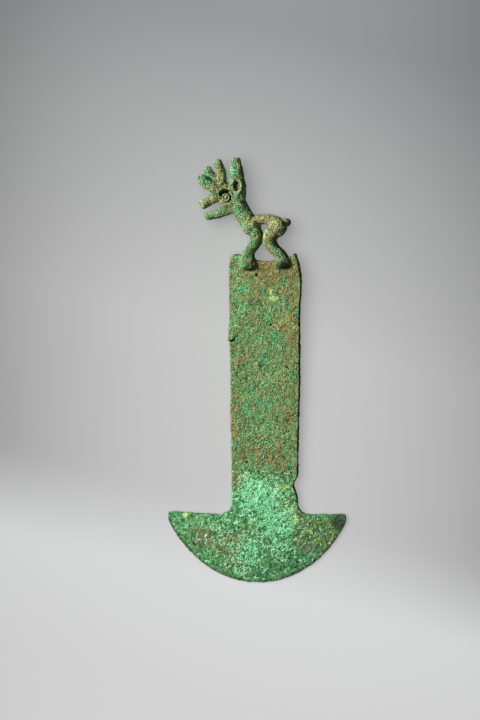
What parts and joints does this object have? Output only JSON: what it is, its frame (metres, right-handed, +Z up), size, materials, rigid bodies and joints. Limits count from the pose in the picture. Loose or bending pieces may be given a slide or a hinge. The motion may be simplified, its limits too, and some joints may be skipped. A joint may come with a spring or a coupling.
{
  "type": "bronze tumi knife",
  "caption": "Cast bronze tumi: a crescent cutting blade below a long flat grip, with a small antlered deer standing on the grip's end. Green weathered surface. It lies on its back.",
  "frame": {"origin": "on the ground, under the middle of the bounding box of the knife lying on its back", "axes": "+X across the blade, towards its right lobe as seen from the front; +Y from the cutting edge towards the deer; +Z up, out of the front face"},
  "size_m": [0.0634, 0.15, 0.0089],
  "materials": {
    "bronze_patina": "cast copper alloy under a rough green and brown corrosion crust, brighter mint green on the blade"
  },
  "bodies": {
    "root": {"tumi": "bronze_patina"}
  },
  "joints": []
}
